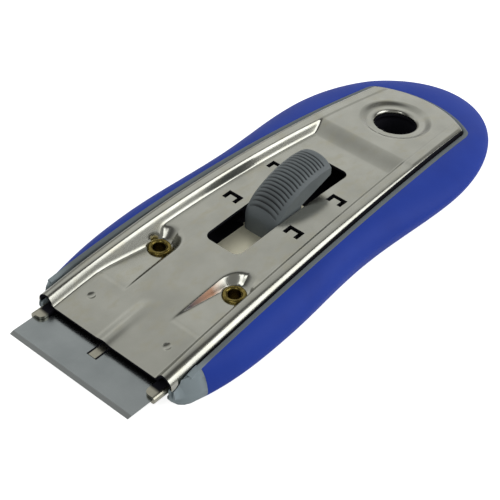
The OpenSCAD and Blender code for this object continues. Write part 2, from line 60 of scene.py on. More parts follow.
# The pressed plate
arch_r = 485 * mm
plate_t = 0.8 * mm
taper_in = 6.5 * mm
taper_l = plate_l * 0.955
taper_power = 1.7
rear_r = 26 * mm
bend_r = 1.1 * mm
bend_rs = ((0, 3.1), (18, 2.7), (50, 2.0), (88, 1.5), (106, 1.1))
skirt_h = 3.5 * mm
rib_w = 3.8 * mm
rib_h = 2.5 * mm
wall_slope = 1.75
wall_ease = 0.8 * mm
foot_ease = 0.55 * mm
ramp_x = rear_x - 36.5 * mm
ramp_l = 5 * mm
bead_l = 17 * mm
bead_w = 5.6 * mm
bead_h = 0.42 * mm
dimple_x = front_x + 8.25 * mm
dimple_y = 12.8 * mm
dimple_r = 1.1 * mm
dimple_ball = 2.1 * mm
eyelet_cx = front_x + 32.1 * mm
eyelet_y = 12.8 * mm
eyelet_hole_r = 2.5 * mm
pocket_tip = front_x + 15.8 * mm
pocket_floor = rim_h - 5.94 * mm
pocket_r = 5.15 * mm
pocket_rear_r = 6.2 * mm
pocket_foot = 3.75 * mm
pocket_slope = 1.05
pocket_ease = 0.5 * mm
pocket_ahead = 1 * mm
pocket_behind = 9 * mm
scallop_foot = 3.4 * mm
scallop_slope = 9.0
scallop_in = 1 * mm
slot_front = front_x + 41 * mm
slot_l = 45.4 * mm
slot_half = 5.8 * mm
slot_r = 2.2 * mm
window_backs = (front_x + 58.9 * mm, front_x + 76.5 * mm)
window_y = 8.0 * mm
window_w = 4.8 * mm
window_l = 3.2 * mm
window_cut = 1.25 * mm
hang_cx = rear_x - 16.2 * mm
hang_r = 6 * mm
roll_r = 1.0 * mm
dish_foot = 8.0 * mm
dish_top = 10.5 * mm
dish_h = 0.85 * mm
collar_h = 0.9 * mm
front_skirt_h = 3.2 * mm
front_skirt_l = 11 * mm
plate_corner = 0.5 * mm

# How closely the plate's lines lie, and the steps along each
side_lines = 200
rear_lines = 80
bend_steps = 8
fine_reach = 14 * mm
fine_step = 0.22 * mm
fine_steps = 34
broad_steps = 28
spine_steps = (4.6, 4.2, 3.8, 3.4, 3.0, 2.6, 2.2, 1.8, 1.4, 1.1, 0.85, 0.6, 0.4, 0.25, 0.12, 0.04, 0)

# The cuts through the plate
window_foot = rim_h - 9 * mm
window_h = 14 * mm
slot_mid = rim_h - 2 * mm
hole_mid = rim_h - 4 * mm
cut_h = 16 * mm
round_sides = 48
corner_steps = 8

# How near points lie that count as one
merge_gap = 0.004 * mm
mirror_gap = 0.02 * mm
solid_gap = 0.002 * mm
slide_gap = 0.0004 * mm
on_rim = 0.01 * mm

# The blade's notch and the carrier's folded edges
notch_half = 1.6 * mm
notch_x = blade_high.x - 12.2 * mm
fold_in = 1.9 * mm

# The handle
plate_gap = 0.35 * mm
lip_w = 1.4 * mm
lip_drop = 1.5 * mm
lip_over = plate_gap + lip_w
crest_over = plate_gap + lip_w * 0.75
waist_in = 1.95 * mm
bulge_x = front_x + plate_l * 0.255
waist_x = front_x + plate_l * 0.514
wave_l = waist_x - bulge_x
rear_bulge_x = waist_x + wave_l
nose_l = 8 * mm
nose_in = 10.5 * mm
nose_power = 2.5
nose_tip = front_x + 0.3 * mm
nose_gap = 0.14 * mm
nose_ease = 0.8 * mm
nose_lines = 24
nose_wall = 0.5 * mm
nose_fall = 1.3 * mm
nose_lift = 3.6 * mm
side_front_h = 1.4 * mm
side_waist_h = 7.5 * mm
side_rear_h = 5.2 * mm
shoulder_power = 1.2
under_power = 1.1
ring_steps = 16
grip_rise = 0.14 * mm
grip_lines = 120
grip_corner = 1.8 * mm
lip_start = front_x + 4.6 * mm
lip_run = 6 * mm
lip_lines = 110
lip_corner = 1.6 * mm
lip_profile = ((-0.70, -0.5), (-0.70, 0.02), (-0.62, 0.16), (-0.42, 0.26), (0, 0.32), (0.42, 0.27),
               (0.64, 0.16), (0.74, 0), (0.76, -0.5), (0, -0.6), (-0.70, -0.5))

# The thumb slide
slide_front = slide_low.x - 0.6 * mm
slide_tail = slide_high.x
slide_half = slide_high.y
slide_arch_r = 27 * mm
slide_arch_x = slide_low.x + 18.3 * mm
slide_arch_z = slide_high.z - slide_arch_r
slide_lines = 230
slide_nose_r = 1.9 * mm
slide_nose_steps = 9
slide_nose_share = 0.5
slide_tail_r = 1.1 * mm
slide_tail_steps = 7
slide_tail_share = 0.9
stem_foot = slide_low.z
stem_back = slide_low.x + 10.4 * mm
stem_z = rim_h - rib_h + 0.4 * mm
tail_h = 2.8 * mm
ribs = 17
ribs_from = math.radians(129)
ribs_span = math.radians(43)
crown_h = 1.4 * mm
crown_fall = 2.4 * mm
crown_power = 2.5
crown_from = slide_front - 1 * mm
crown_to = slide_front + 5 * mm
panel_half = 4.5 * mm
panel_edge = 0.25 * mm
panel_fade = 0.03
groove_h = 0.5 * mm
groove_share = 0.26
across_shares = (1, 0.985, 0.96, 0.92, 0.87, 0.82, 0.79, 0.765, 0.745, 0.72, 0.66, 0.56, 0.44, 0.3, 0.15, 0)

# The photograph's viewpoint
view_turn = math.radians(-50.09)
view_rise = math.radians(41.30)
view_roll = math.radians(2.20)
camera_place = Vector((-216.08, -169.15, 233.91)) * mm
camera_lens = 96.74

# The studio's sky, by how far a direction points at the bright side
sky_way = (0.35, 0.85, 0)
sky_levels = ((-1, 0.30), (-0.45, 0.30), (-0.15, 0.12), (0.08, 0.10), (0.2, 0.30), (0.3, 0.58),
              (0.42, 0.66), (0.55, 0.67), (0.66, 0.96), (0.74, 0.82), (0.9, 0.3))

# The lamps: the way to each, its distance, its size and its power
soft_box = ((0.50, -0.62, 0.53), 1.0, (0.75, 0.7), 4.2)
top_box = ((-0.64, -0.21, 0.72), 1.0, (0.30, 0.30), 0.8)

# Where the painted shade and the painted reflection lie on the finishes
# Painted shade: the near-black colour that masked parts of the finishes get in place of their own shading
painted_shade_colour = (0.016, 0.016, 0.021, 1)
# Painted shade: the band just inside the plate's edge that is painted near-black, and the front stretch where
# it is left out
skirt_shade_band = (-0.36 * mm, -0.26 * mm)
skirt_bare = (front_x + 3 * mm, front_x + 7 * mm)
# Painted shade: where the skirt's painted shade begins round the rear and the core's painted shade ends
rear_turn = (rear_x - 9 * mm, rear_x - 8 * mm)
# Painted reflection: the stretch of the eyelet pockets' walls over which the painted tint turns from dark to
# copper
painted_reflection_run = (pocket_tip + 5 * mm, pocket_tip + 11.5 * mm)
# Painted shade: half width of the leaf, beyond which it is painted near-black
leaf_half = 6 * mm


def ease(low, high, value):
    t = min(1, max(0, (value - low) / (high - low)))
    return t * t * (3 - 2 * t)


def sag(x):
    return arch_r - math.sqrt(arch_r ** 2 - x ** 2)


def rim_z(x):
    return rim_h - sag(x)


def edge_half(x):
    return plate_half - taper_in * (max(0, x - front_x) / taper_l) ** taper_power


def edge_out(x):
    step = 0.1 * mm
    slope = (edge_half(x + step) - edge_half(x - step)) / (2 * step)
    return Vector((-slope, 1)).normalized()


# Hand tools

def put_down():
    if bpy.context.object and bpy.context.object.mode != "OBJECT":
        bpy.ops.object.mode_set(mode="OBJECT")
    bpy.ops.object.select_all(action="DESELECT")


def take(piece):
    put_down()
    piece.select_set(True)
    bpy.context.view_layer.objects.active = piece


def named(name):
    piece = bpy.context.object
    piece.name = name
    piece.data.name = name
    return piece


def skin(name, lines):
    """A grid laid over rows of points."""
    put_down()
    bpy.ops.mesh.primitive_grid_add(x_subdivisions=len(lines[0]) - 1, y_subdivisions=len(lines) - 1, size=1)
    piece = named(name)
    piece.data.vertices.foreach_set("co", [c for line in lines for point in line for c in point])
    piece.data.update()
    return piece


def close_up(piece, gap=merge_gap):
    """Merges doubled points, fills open ends and turns the faces outwards."""
    take(piece)
    bpy.ops.object.mode_set(mode="EDIT")
    bpy.ops.mesh.select_all(action="SELECT")
    bpy.ops.mesh.remove_doubles(threshold=gap)
    bpy.ops.mesh.select_all(action="SELECT")
    bpy.ops.mesh.fill_holes(sides=0)
    bpy.ops.mesh.select_all(action="SELECT")
    bpy.ops.mesh.normals_make_consistent(inside=False)
    bpy.ops.object.mode_set(mode="OBJECT")


def work(piece, kind, **settings):
    """Adds a modifier and applies it."""
    take(piece)
    bpy.ops.object.modifier_add(type=kind)
    modifier = piece.modifiers[-1]
    for key, value in settings.items():
        setattr(modifier, key, value)
    bpy.ops.object.modifier_apply(modifier=modifier.name)


def smooth(piece, angle=35):
    take(piece)
    bpy.ops.object.shade_smooth_by_angle(angle=math.radians(angle))


def join(name, pieces):
    put_down()
    for piece in pieces:
        piece.select_set(True)
    bpy.context.view_layer.objects.active = pieces[0]
    bpy.ops.object.join()
    return named(name)


# Pressed plate

def bend_at(x):
    """Radius of the plate's edge, which gets tighter towards the rear."""
    along = (x - front_x) / mm
    for (a, low), (b, high) in zip(bend_rs, bend_rs[1:]):
        if along < b:
            return (low + (high - low) * ease(a, b, along)) * mm
    return bend_r


def above(low, value, soft):
    """The higher of two values, with the corner between them rounded."""
    away = value - low
    return value if away > soft else low if away < -soft else low + (away + soft) ** 2 / (4 * soft)


def lower(a, b, soft):
    """The lower of two values, with the corner between them rounded."""
    return -above(-a, -b, soft)


def pocket_z(x, y):
    """Height of an eyelet pocket: a trough that deepens from its tip, and a bowl behind the eyelet."""
    side = abs(y) - eyelet_y
    lean = pocket_rear_r / pocket_r
    depth = rim_z(eyelet_cx) - rib_h - pocket_floor
    if x < eyelet_cx:
        share = max(0, (x - pocket_tip) / (eyelet_cx - pocket_tip))
        wall = pocket_slope * (-side * lean - pocket_foot) - depth
        return rim_z(x) - rib_h + above(-depth * share, wall, foot_ease / 2)
    away = math.hypot(x - eyelet_cx, side * lean if side < 0 else side)
    return pocket_floor + above(0, pocket_slope * (away - pocket_foot), foot_ease / 2)


def scallop_z(x, y):
    """Height of the hollow behind an eyelet that the rib's wall gives way to."""
    along, side = x - eyelet_cx, abs(y) - eyelet_y
    away = math.hypot(along, side)
    outward = max(0, side / max(away, 1e-6)) ** 4
    slope = pocket_slope + (scallop_slope - pocket_slope) * outward
    foot = pocket_foot + (scallop_foot - pocket_foot) * outward
    return pocket_floor + above(0, slope * (away - foot), foot_ease)


def rear_reach(way, over, soft):
    """How far the plate's outline, grown by over, lies from the rear bulge's middle, rounded by soft."""
    r = rear_r + over
    back = rear_bulge_x - (rear_x - rear_r)
    on_arc = -back * way.x + math.sqrt(back ** 2 * (way.x ** 2 - 1) + r ** 2)
    slope = (edge_half(rear_x) - edge_half(rear_bulge_x)) / (rear_x - rear_bulge_x)
    on_side = (edge_half(rear_bulge_x) + over) / max(1e-6, abs(way.y) - slope * way.x)
    return lower(on_arc, on_side, soft)


def rear_line(over, soft, begin, count):
    """Places round the rear from the angle begin to the middle, with their way out."""
    middle = Vector((rear_bulge_x, 0))
    points = []
    for i in range(-1, count + 2):
        a = begin * (1 - i / count)
        way = Vector((math.cos(a), math.sin(a)))
        points.append(middle + way * rear_reach(way, over, soft))
    line = []
    for before, point, after in zip(points, points[1:], points[2:]):
        along = after - before
        line.append((point, Vector((-along.y, along.x)).normalized()))
    return line


def plate_z(x, y):
    """Height of the plate's upper face."""
    rise = (ease(ramp_x, ramp_x + ramp_l, x) + min(1, max(0, (x - ramp_x) / ramp_l))) / 2
    rim = rim_z(x)
    z = rim - rib_h * (1 - rise)
    if pocket_tip - pocket_ahead < x < eyelet_cx + pocket_behind:
        z = lower(z, pocket_z(x, y), pocket_ease)
    soft = wall_ease * (1 + ease(pocket_tip, front_x, x))
    wall = above(0, (edge_half(x) - abs(y) - rib_w) * wall_slope, soft)
    z = above(z, rim - wall, foot_ease)
    if eyelet_cx < x < eyelet_cx + pocket_behind and abs(y) > eyelet_y - scallop_in:
        z = lower(z, scallop_z(x, y), pocket_ease)
    along = (x - front_x) / bead_l
    if along < 1 and abs(y) < bead_w / 2:
        z += bead_h * (1 - along ** 2) * math.cos(math.pi * y / bead_w) ** 2
    ring = math.hypot(x - hang_cx, y)
    z -= dish_h * (1 - ease(dish_foot, dish_top, ring))
    if ring < hang_r + roll_r:
        over = min(1, (hang_r + roll_r - ring) / roll_r)
        z -= roll_r * (1 - math.sqrt(max(0, 1 - over ** 2)))
    return z


def plate_stations():
    """Places down one side and round the rear: where the bend begins, the way out, the spine and the bend."""
    stations = []
    spine_end = hang_cx - hang_r
    for i in range(side_lines):
        x = front_x + (spine_end - front_x) * i / side_lines
        stations.append((Vector((x, edge_half(x) - bend_at(x))), edge_out(x), Vector((x, 0)), bend_at(x)))
    begin = math.atan2(edge_half(spine_end) - bend_r, spine_end - rear_bulge_x)
    path = rear_line(-bend_r, plate_corner, begin, rear_lines)
    run = [0]
    for a, b in zip(path, path[1:]):
        run.append(run[-1] + (b[0] - a[0]).length + 0.1 * mm)
    for (place, out), way in zip(path, run):
        a = math.pi * (1 - way / run[-1])
        stations.append((place, out, Vector((hang_cx + hang_r * math.cos(a), hang_r * math.sin(a))), bend_r))
    return stations


def plate_line(place, out, spine, bend):
    """One line of the plate, from the skirt's foot over the bend and the rib to the spine or the hole."""
    rim = rim_z(place.x)
    line = []
    foot = front_skirt_h + (skirt_h - front_skirt_h) * ease(front_x, front_x + front_skirt_l, place.x)
    for drop in (foot, (foot + bend) / 2):
        edge = place + out * bend
        line.append((edge.x, edge.y, rim - drop))
    for i in range(bend_steps):
        a = math.pi / 2 * (1 - i / bend_steps)
        point = place + out * bend * math.sin(a)
        line.append((point.x, point.y, rim - bend * (1 - math.cos(a))))
    length = (spine - place).length
    scale = min(1, length / fine_reach)
    offsets = [fine_step * i * scale for i in range(fine_steps)]
    inner = [d * mm * scale for d in spine_steps]
    start, stop = offsets[-1], length - inner[0]
    offsets += [start + (stop - start) * i / broad_steps for i in range(1, broad_steps)]
    offsets += [length - d for d in inner]
    for offset in offsets:
        point = place + (spine - place) * (offset / length)
        line.append((point.x, point.y, plate_z(point.x, point.y)))
    return line


def window_cutter(back_x, side):
    """A staple shaped cut with its legs forward."""
    xs = (back_x - window_l, back_x - window_cut, back_x)
    ys = (window_y, window_y + window_cut, window_y + window_w - window_cut, window_y + window_w)
    cutter = skin("window", [[(x, side * y, window_foot) for x in xs] for y in ys])
    bpy.ops.object.mode_set(mode="EDIT")
    bpy.ops.mesh.select_mode(type="FACE")
    bpy.ops.mesh.select_all(action="DESELECT")
    bpy.ops.object.mode_set(mode="OBJECT")
    middle = window_y + window_w / 2
    for face in cutter.data.polygons:
        inner = abs(abs(face.center.y) - middle) < window_cut / 2
        face.select = inner and face.center.x < back_x - window_cut
    bpy.ops.object.mode_set(mode="EDIT")
    bpy.ops.mesh.delete(type="FACE")
    bpy.ops.mesh.select_all(action="SELECT")
    bpy.ops.mesh.extrude_region_move(TRANSFORM_OT_translate={"value": (0, 0, window_h)})
    bpy.ops.mesh.select_all(action="SELECT")
    bpy.ops.mesh.normals_make_consistent(inside=False)
    bpy.ops.object.mode_set(mode="OBJECT")
    return cutter


def slot_cutter():
    put_down()
    bpy.ops.mesh.primitive_cube_add(size=1)
    cutter = named("slot")
    bpy.ops.object.mode_set(mode="EDIT")
    bpy.ops.transform.resize(value=(slot_l, 2 * slot_half, cut_h))
    bpy.ops.transform.translate(value=(slot_front + slot_l / 2, 0, slot_mid))
    bpy.ops.mesh.select_mode(type="EDGE")
    bpy.ops.mesh.select_all(action="DESELECT")
    bpy.ops.object.mode_set(mode="OBJECT")
    points = cutter.data.vertices
    for edge in cutter.data.edges:
        a, b = (points[i].co for i in edge.vertices)
        edge.select = abs(a.z - b.z) > cut_h / 2
    bpy.ops.object.mode_set(mode="EDIT")
    bpy.ops.mesh.bevel(offset=slot_r, segments=corner_steps, affect="EDGES")
    bpy.ops.object.mode_set(mode="OBJECT")
    return cutter


def hole_cutters():
    cutters = []
    for side in (1, -1):
        put_down()
        bpy.ops.mesh.primitive_cylinder_add(vertices=round_sides, radius=eyelet_hole_r, depth=cut_h)
        hole = named("eyelet_hole")
        bpy.ops.object.mode_set(mode="EDIT")
        bpy.ops.transform.translate(value=(eyelet_cx, side * eyelet_y, hole_mid))
        bpy.ops.object.mode_set(mode="OBJECT")
        put_down()
        bpy.ops.mesh.primitive_uv_sphere_add(segments=round_sides, ring_count=round_sides, radius=dimple_ball)
        dimple = named("dimple")
        lift = math.sqrt(dimple_ball ** 2 - dimple_r ** 2)
        bpy.ops.object.mode_set(mode="EDIT")
        bpy.ops.transform.translate(value=(dimple_x, side * dimple_y, plate_z(dimple_x, dimple_y) + lift))
        bpy.ops.object.mode_set(mode="OBJECT")
        cutters += [hole, dimple]
    return cutters


def pressed_plate():
    lines = [plate_line(*station) for station in plate_stations()]
    half = skin("pressed_plate", lines)
    take(half)
    bpy.ops.object.mode_set(mode="EDIT")
    bpy.ops.mesh.select_all(action="SELECT")
    if half.data.polygons[len(half.data.polygons) // 2].normal.z < 0:
        bpy.ops.mesh.flip_normals()
    bpy.ops.object.mode_set(mode="OBJECT")
    work(half, "MIRROR", use_axis=(False, True, False), use_mirror_merge=True, merge_threshold=mirror_gap)
    take(half)
    bpy.ops.object.mode_set(mode="EDIT")
    bpy.ops.mesh.select_mode(type="EDGE")
    bpy.ops.mesh.select_all(action="SELECT")
    bpy.ops.mesh.remove_doubles(threshold=merge_gap)
    bpy.ops.mesh.select_all(action="DESELECT")
    bpy.ops.object.mode_set(mode="OBJECT")
    points = half.data.vertices
    for edge in half.data.edges:
        rings = [math.hypot(points[i].co.x - hang_cx, points[i].co.y) for i in edge.vertices]
        edge.select = all(abs(ring - hang_r) < on_rim for ring in rings)
    bpy.ops.object.mode_set(mode="EDIT")
    bpy.ops.mesh.extrude_edges_move(TRANSFORM_OT_translate={"value": (0, 0, -collar_h)})
    bpy.ops.object.mode_set(mode="OBJECT")
    work(half, "SOLIDIFY", thickness=plate_t, offset=-1)
    cutters = [slot_cutter()] + hole_cutters()
    cutters += [window_cutter(x, side) for x in window_backs for side in (1, -1)]
    cutter = join("cuts", cutters)
    work(half, "BOOLEAN", operation="DIFFERENCE", object=cutter, solver="EXACT")
    bpy.data.objects.remove(cutter)
    smooth(half, 38)
    return half


# Soft grip and moulded core

def side_half(x):
    if x < bulge_x:
        u = (bulge_x - x) / (bulge_x - front_x)
        return bulge_half - nose_in + nose_in * math.sqrt(max(0, 1 - u ** nose_power))
    return bulge_half - waist_in + waist_in * (1 + math.cos(math.pi * (x - bulge_x) / wave_l)) / 2


def side_z(x):
    ahead = min(1, max(0, (waist_x - x) / (waist_x - front_x)))
    behind = min(1, max(0, (x - waist_x) / (tail_x - waist_x)))
    front_drop, rear_drop = side_waist_h - side_front_h, side_waist_h - side_rear_h
    return side_waist_h - front_drop * ahead ** 2 - rear_drop * behind ** 2


def grip_ring(lip, outer):
    """The grip's section: over the shoulder to the widest line, under to the foot, and up the inner wall."""
    reach = (outer - lip).length
    way = (outer - lip) / reach
    crest = lip - way * (lip_over - crest_over)
    reach = (outer - crest).length
    lip_z = rim_z(lip.x) - lip_drop + grip_rise
    wide_z = side_z(outer.x)
    begin = math.asin(((lip_over - crest_over) / reach) ** (1 / shoulder_power))
    ring = []
    for i in range(ring_steps + 1):
        a = begin + (math.pi / 2 - begin) * i / ring_steps
        point = crest + way * reach * math.sin(a) ** shoulder_power
        ring.append((point.x, point.y, wide_z + (lip_z - wide_z) * math.cos(a) ** shoulder_power))
    for i in range(1, ring_steps + 1):
        a = math.pi / 2 * i / ring_steps
        point = crest + way * reach * max(0, math.cos(a)) ** under_power
        if (point - lip).dot(way) > 0:
            ring.append((point.x, point.y, wide_z * (1 - math.sin(a) ** under_power)))
    while len(ring) < 2 * ring_steps + 1:
        ring.append((lip.x, lip.y, 0))
    ring.append((lip.x, lip.y, 0))
    ring.append((lip.x, lip.y, ring[0][2] / 2))
    ring.append(ring[0])
    return ring


def soft_grip():
    lines = []
    start = front_x + nose_l
    for i in range(grip_lines + 1):
        x = start + (rear_bulge_x - start) * i / grip_lines
        lines.append(grip_ring(Vector((x, edge_half(x) + lip_over)), Vector((x, side_half(x)))))
    middle = Vector((rear_bulge_x, 0))
    for i in range(1, grip_lines):
        a = math.pi * i / grip_lines
        outer = Vector((rear_bulge_x + (tail_x - rear_bulge_x) * math.sin(a), bulge_half * math.cos(a)))
        way = (outer - middle).normalized()
        lines.append(grip_ring(middle + way * rear_reach(way, lip_over, grip_corner), outer))
    lines += [[(x, -y, z) for x, y, z in line] for line in reversed(lines[:grip_lines + 1])]
    grip = skin("soft_overmould", lines)
    close_up(grip)
    smooth(grip, 45)
    return grip


def lip_bead():
    """The rounded top of the core's lip, all round the plate."""
    path = []
    middle = plate_gap + lip_w / 2
    for i in range(lip_lines):
        x = lip_start + (rear_bulge_x - lip_start) * i / lip_lines
        path.append((Vector((x, edge_half(x) + middle)), edge_out(x)))
    path += rear_line(middle, lip_corner, math.pi / 2, lip_lines)
    path += [(Vector((p.x, -p.y)), Vector((o.x, -o.y))) for p, o in reversed(path[:-1])]
    lines = []
    for place, out in path:
        grow = ease(lip_start, lip_start + lip_run, place.x)
        top = rim_z(place.x) - lip_drop
        line = []
        for across, height in lip_profile:
            point = place + out * across * mm
            line.append((point.x, point.y, top + (height if height < 0 else height * grow) * mm))
        lines.append(line)
    bead = skin("lip_bead", lines)
    close_up(bead)
    return bead


def nose_cap(hand):
    """The rounded front end of one side of the core, which runs on into the grip's section."""
    lines = []
    for i in range(nose_lines + 1):
        share = (i / nose_lines) ** 1.5
        x = nose_tip + (front_x + nose_l - nose_tip) * share
        lip_y = edge_half(x) + nose_gap
        outer_y = above(lip_y + nose_wall, side_half(x), nose_ease)
        ring = grip_ring(Vector((x, lip_y)), Vector((x, outer_y)))
        top = ring[0][2]
        fall, lift = nose_fall * (1 - share) ** 2, nose_lift * (1 - share) ** 2
        lines.append([(x, hand * y, lift + z * (top - fall - lift) / top) for x, y, z in ring])
    cap = skin("nose_cap", lines)
    close_up(cap)
    return cap


def moulded_core():
    """The core's own solid, merged and smoothed, with its rounded lip and noses."""
    take(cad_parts["handle_core"])
    bpy.ops.object.duplicate()
    core = named("moulded_core")
    for key in list(core.keys()):
        del core[key]
    core.parent = None
    bpy.ops.object.mode_set(mode="EDIT")
    bpy.ops.mesh.select_all(action="SELECT")
    bpy.ops.mesh.remove_doubles(threshold=solid_gap)
    bpy.ops.object.mode_set(mode="OBJECT")
    core = join("moulded_core", [core, lip_bead(), nose_cap(1), nose_cap(-1)])
    smooth(core, 32)
    work(core, "WEIGHTED_NORMAL", keep_sharp=True)
    return core


# Thumb slide

def slide_top(x):
    return slide_arch_z + math.sqrt(slide_arch_r ** 2 - (x - slide_arch_x) ** 2)


def slide_base(x):
    if x <= stem_back:
        return stem_foot
    share = (x - stem_back) / (slide_tail - stem_back)
    return stem_z + share * (slide_top(slide_tail) - tail_h - stem_z)


def finger_groove(x):
    """Share of the ribbed panel and of its cross grooves along the top."""
    a = math.acos((x - slide_arch_x) / slide_arch_r)
    share = (ribs_from - a) / ribs_span
    if share < -panel_fade or share > 1 + panel_fade:
        return 0, 0
    phase = share * ribs % 1
    away = min(phase, 1 - phase)
    cut = math.cos(math.pi / 2 * away / groove_share) ** 2 if away < groove_share else 0
    panel = ease(-panel_fade, 0, share) * (1 - ease(1, 1 + panel_fade, share))
    return panel, cut


def slide_line(x, base):
    """One section of the slide: upright sides and a crowned top with cross grooves."""
    front = min(1, max(0, (slide_front + slide_nose_r - x) / slide_nose_r))
    back = min(1, max(0, (x - slide_tail + slide_tail_r) / slide_tail_r))
    round_in = 1 - math.sqrt(max(0, 1 - max(front, back) ** 2))
    half = slide_half - round_in * (slide_nose_r if front else slide_tail_r)
    nose_drop, tail_drop = slide_nose_share * slide_nose_r, slide_tail_share * slide_tail_r
    top = slide_top(x) - round_in * (nose_drop if front else tail_drop)
    low = base + (tail_drop * round_in if back else 0)
    panel, cut = finger_groove(x)
    crown = crown_h * ease(crown_from, crown_to, x)
    shoulder = top + crown - crown_fall
    right = [(half, low), (half, low + (shoulder - low) * 0.5), (half, shoulder - 0.1 * mm)]
    for share in across_shares:
        height = top + crown - crown_fall * share ** crown_power
        sunk = groove_h * ease(panel_half, panel_half - panel_edge, half * share)
        right.append((half * share, height - sunk * panel * cut))
    whole = [(-y, z) for y, z in right] + list(reversed(right[:-1]))
    return [(x, y, z) for y, z in whole]


def thumb_slide():
    nose_turns = [math.pi / 2 * i / slide_nose_steps for i in range(slide_nose_steps + 1)]
    tail_turns = [math.pi / 2 * i / slide_tail_steps for i in range(slide_tail_steps + 1)]
    tail_start = slide_tail - slide_tail_r
    places = [slide_front + slide_nose_r * (1 - math.cos(turn)) for turn in nose_turns]
    a, b = (math.acos((x - slide_arch_x) / slide_arch_r) for x in (places[-1], tail_start))
    arch_turns = [a + (b - a) * i / slide_lines for i in range(1, slide_lines)]
    places += [slide_arch_x + slide_arch_r * math.cos(turn) for turn in arch_turns]
    places += [tail_start + slide_tail_r * math.sin(turn) for turn in tail_turns]
    lines = [slide_line(x, slide_base(x)) for x in places if x <= stem_back]
    lines += [slide_line(stem_back, base) for base in (stem_foot, stem_z)]
    lines += [slide_line(x, slide_base(x)) for x in places if x > stem_back]
    lines = [line + [line[0]] for line in lines]
    slide = skin("ribbed_slide", lines)
    close_up(slide, slide_gap)
    smooth(slide, 50)
    return slide


# Finishes

class Value:
    """A socket whose sums add Math nodes."""

    def __init__(self, finish, socket):
        self.finish = finish
        self.socket = socket

    def sum(self, operation, a, b):
        return self.finish.node("ShaderNodeMath", {"operation": operation}, {0: a, 1: b})

    def __add__(self, other):
        return self.sum("ADD", self, other)

    def __radd__(self, other):
        return self.sum("ADD", other, self)

    def __sub__(self, other):
        return self.sum("SUBTRACT", self, other)

    def __rsub__(self, other):
        return self.sum("SUBTRACT", other, self)

    def __mul__(self, other):
        return self.sum("MULTIPLY", self, other)

    def __rmul__(self, other):
        return self.sum("MULTIPLY", other, self)

    def __truediv__(self, other):
        return self.sum("DIVIDE", self, other)

    def __pow__(self, other):
        return self.sum("POWER", self, other)

    def size(self):
        return self.sum("ABSOLUTE", self, 0)


class Finish:
    """The nodes of a material, or of the studio's sky."""

    def __init__(self, owner):
        self.owner = owner
        owner.use_nodes = True
        self.tree = owner.node_tree
        self.tree.nodes.clear()
        self.place = self.node("ShaderNodeTexCoord", {}, {}, out="Object")

    def node(self, kind, settings, sockets, out=0):
        made = self.tree.nodes.new(kind)
        for key, value in settings.items():
            if key == "stops":
                ramp = made.color_ramp
                while len(ramp.elements) < len(value):
                    ramp.elements.new(0.5)
                for element, (position, colour) in zip(ramp.elements, value):
                    element.position = position
                    element.color = (*colour, 1)
            else:
                setattr(made, key, value)
        for key, value in sockets.items():
            if isinstance(value, Value):
                self.tree.links.new(value.socket, made.inputs[key])
            else:
                made.inputs[key].default_value = value
        return Value(self, made.outputs[out]) if made.outputs else None

    def noise(self, size, stretch=(1, 1, 1), detail=3, rough=0.5):
        """Soft noise whose patches measure about size."""
        place = self.node("ShaderNodeMapping", {}, {"Vector": self.place, "Scale": stretch})
        sockets = {"Vector": place, "Scale": 1 / size, "Detail": detail, "Roughness": rough}
        return self.node("ShaderNodeTexNoise", {}, sockets)

    def span(self, value, low, high, to_low=0.0, to_high=1.0):
        sockets = {"Value": value, "From Min": low, "From Max": high, "To Min": to_low, "To Max": to_high}
        return self.node("ShaderNodeMapRange", {"clamp": True}, sockets)

    def mix(self, factor, a, b):
        colours = {key: value if isinstance(value, Value) else (*value, 1) for key, value in ((6, a), (7, b))}
        return self.node("ShaderNodeMix", {"data_type": "RGBA"}, {0: factor, **colours}, out=2)

    def axis(self, name):
        return self.node("ShaderNodeSeparateXYZ", {}, {0: self.place}, out="XYZ".index(name))

    def bump(self, height, depth, strength=1.0):
        return self.node("ShaderNodeBump", {}, {"Height": height, "Distance": depth, "Strength": strength})

    def shade(self, colour, rough, bump=None, painted_shade=None, **constants):
        """A finished surface; its last mask is the share of it painted near-black as shade, by a dark matt
        shader mixed in.
        """
        sockets = {"Base Color": colour if isinstance(colour, Value) else (*colour, 1), "Roughness": rough}
        if bump:
            sockets["Normal"] = bump
        for key, value in constants.items():
            sockets[key.replace("_", " ").title().replace("Ior", "IOR")] = value
        shader = self.node("ShaderNodeBsdfPrincipled", {}, sockets)
        # Painted shade: the masked share is mixed with a dark matt shader
        if painted_shade:
            dark = self.node("ShaderNodeBsdfDiffuse", {}, {"Color": painted_shade_colour})
            shader = self.node("ShaderNodeMixShader", {}, {0: painted_shade, 1: shader, 2: dark})
        self.node("ShaderNodeOutputMaterial", {}, {"Surface": shader})
        return self.owner


def new_finish(name):
    return Finish(bpy.data.materials.new(name))


def plate_edge(f, x):
    """Half width of the plate along its length."""
    return plate_half - taper_in * (f.span(x, front_x, front_x + taper_l) ** taper_power)


def between(f, value, low, high, soft):
    """1 from low to high and 0 outside, with soft ends."""
    return f.span(value, low - soft, low + soft) * (1 - f.span(value, high - soft, high + soft))


def most(f, a, b):
    """The larger of two values."""
    return f.node("ShaderNodeMath", {"operation": "MAXIMUM"}, {0: a, 1: b})


